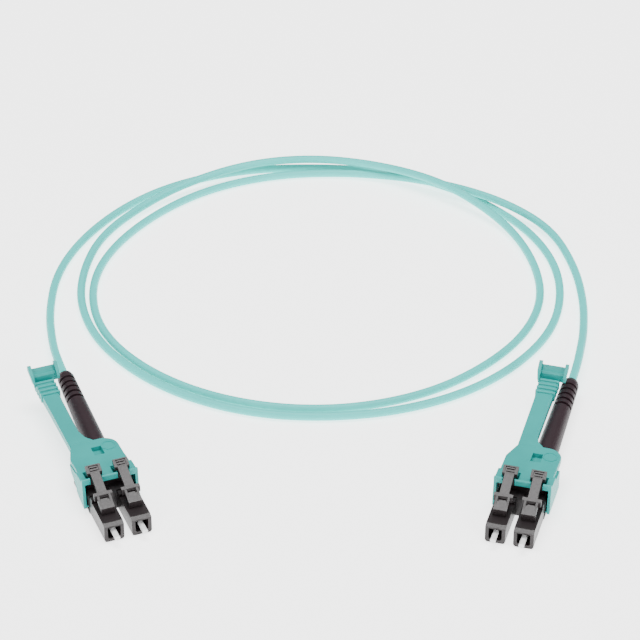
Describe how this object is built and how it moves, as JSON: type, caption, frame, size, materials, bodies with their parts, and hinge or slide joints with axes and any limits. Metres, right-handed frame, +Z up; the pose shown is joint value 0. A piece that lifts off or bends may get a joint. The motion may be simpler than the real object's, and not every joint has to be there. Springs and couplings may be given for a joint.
{
  "type": "fiber optic patch cord",
  "caption": "Duplex round fibre optic patch cord, laid in a loose coil, with a push-pull uniboot connector of two latched plugs and a rubber boot at each end.",
  "frame": {"origin": "on the surface the cord lies on, at the centre of the two connectors' bounding box", "axes": "+X from the left connector to the right one, +Z up off the surface; the plugs point towards -Y and the coil lies on the +Y side"},
  "size_m": [0.1316, 0.1576, 0.0103],
  "materials": {
    "cord_jacket": "satin",
    "sleeve_plastic": "satin",
    "black_plastic": "satin",
    "boot_rubber": "matte",
    "zirconia": "polished",
    "nickel_metal": "satin",
    "spring_steel": "satin",
    "fibre_buffer": "satin"
  },
  "bodies": {
    "root": {"cord": "cord_jacket", "left_boot": "boot_rubber", "left_cable_end": "cord_jacket", "left_crimp_post": "nickel_metal", "left_crimp_ring": "nickel_metal", "left_ferrule_spring_a": "spring_steel", "left_ferrule_spring_b": "spring_steel", "left_fibre_a": "fibre_buffer", "left_fibre_b": "fibre_buffer", "left_plug_housing_a": "black_plastic", "left_plug_housing_b": "black_plastic", "left_rear_housing_base": "black_plastic", "left_rear_housing_cover": "black_plastic", "left_spring_stop_a": "black_plastic", "left_spring_stop_b": "black_plastic", "right_boot": "boot_rubber", "right_cable_end": "cord_jacket", "right_crimp_post": "nickel_metal", "right_crimp_ring": "nickel_metal", "right_ferrule_spring_a": "spring_steel", "right_ferrule_spring_b": "spring_steel", "right_fibre_a": "fibre_buffer", "right_fibre_b": "fibre_buffer", "right_plug_housing_a": "black_plastic", "right_plug_housing_b": "black_plastic", "right_rear_housing_base": "black_plastic", "right_rear_housing_cover": "black_plastic", "right_spring_stop_a": "black_plastic", "right_spring_stop_b": "black_plastic"},
    "left_sleeve": {"left_push_pull_sleeve": "sleeve_plastic"},
    "left_latch_a": {"left_latch_a": "black_plastic"},
    "left_ferrule_unit_a": {"left_ferrule_a": "zirconia", "left_ferrule_flange_a": "nickel_metal"},
    "left_latch_b": {"left_latch_b": "black_plastic"},
    "left_ferrule_unit_b": {"left_ferrule_b": "zirconia", "left_ferrule_flange_b": "nickel_metal"},
    "right_sleeve": {"right_push_pull_sleeve": "sleeve_plastic"},
    "right_latch_a": {"right_latch_a": "black_plastic"},
    "right_ferrule_unit_a": {"right_ferrule_a": "zirconia", "right_ferrule_flange_a": "nickel_metal"},
    "right_latch_b": {"right_latch_b": "black_plastic"},
    "right_ferrule_unit_b": {"right_ferrule_b": "zirconia", "right_ferrule_flange_b": "nickel_metal"}
  },
  "joints": [
    {"name": "left_sleeve_pull", "type": "slide", "parent": "root", "child": "left_sleeve", "axis": [-0.3681, 0.9298, 0], "range_m": [0, 0.0006]},
    {"name": "left_latch_a_flex", "type": "hinge", "parent": "root", "child": "left_latch_a", "pos_m": [-0.04214, -0.02191, 0.0055], "axis": [-0.9298, -0.3681, 0], "range_deg": [0, 14]},
    {"name": "left_ferrule_a_float", "type": "slide", "parent": "root", "child": "left_ferrule_unit_a", "axis": [-0.3681, 0.9298, 0], "range_m": [0, 0.0005], "deforming": ["left_ferrule_spring_a", "left_fibre_a"]},
    {"name": "left_latch_b_flex", "type": "hinge", "parent": "root", "child": "left_latch_b", "pos_m": [-0.03632, -0.01961, 0.0055], "axis": [-0.9298, -0.3681, 0], "range_deg": [0, 14]},
    {"name": "left_ferrule_b_float", "type": "slide", "parent": "root", "child": "left_ferrule_unit_b", "axis": [-0.3681, 0.9298, 0], "range_m": [0, 0.0005], "deforming": ["left_ferrule_spring_b", "left_fibre_b"]},
    {"name": "right_sleeve_pull", "type": "slide", "parent": "root", "child": "right_sleeve", "axis": [0.2773, 0.9608, 0], "range_m": [0, 0.0006]},
    {"name": "right_latch_a_flex", "type": "hinge", "parent": "root", "child": "right_latch_a", "pos_m": [0.04253, -0.02259, 0.0055], "axis": [-0.9608, 0.2773, 0], "range_deg": [0, 14]},
    {"name": "right_ferrule_a_float", "type": "slide", "parent": "root", "child": "right_ferrule_unit_a", "axis": [0.2773, 0.9608, 0], "range_m": [0, 0.0005], "deforming": ["right_ferrule_spring_a", "right_fibre_a"]},
    {"name": "right_latch_b_flex", "type": "hinge", "parent": "root", "child": "right_latch_b", "pos_m": [0.04853, -0.02433, 0.0055], "axis": [-0.9608, 0.2773, 0], "range_deg": [0, 14]},
    {"name": "right_ferrule_b_float", "type": "slide", "parent": "root", "child": "right_ferrule_unit_b", "axis": [0.2773, 0.9608, 0], "range_m": [0, 0.0005], "deforming": ["right_ferrule_spring_b", "right_fibre_b"]}
  ],
  "couplings": [
    {"joint": "left_latch_a_flex", "follows": "left_sleeve_pull", "rad_per_m": 407},
    {"joint": "left_latch_b_flex", "follows": "left_sleeve_pull", "rad_per_m": 407},
    {"joint": "right_latch_a_flex", "follows": "right_sleeve_pull", "rad_per_m": 407},
    {"joint": "right_latch_b_flex", "follows": "right_sleeve_pull", "rad_per_m": 407}
  ]
}
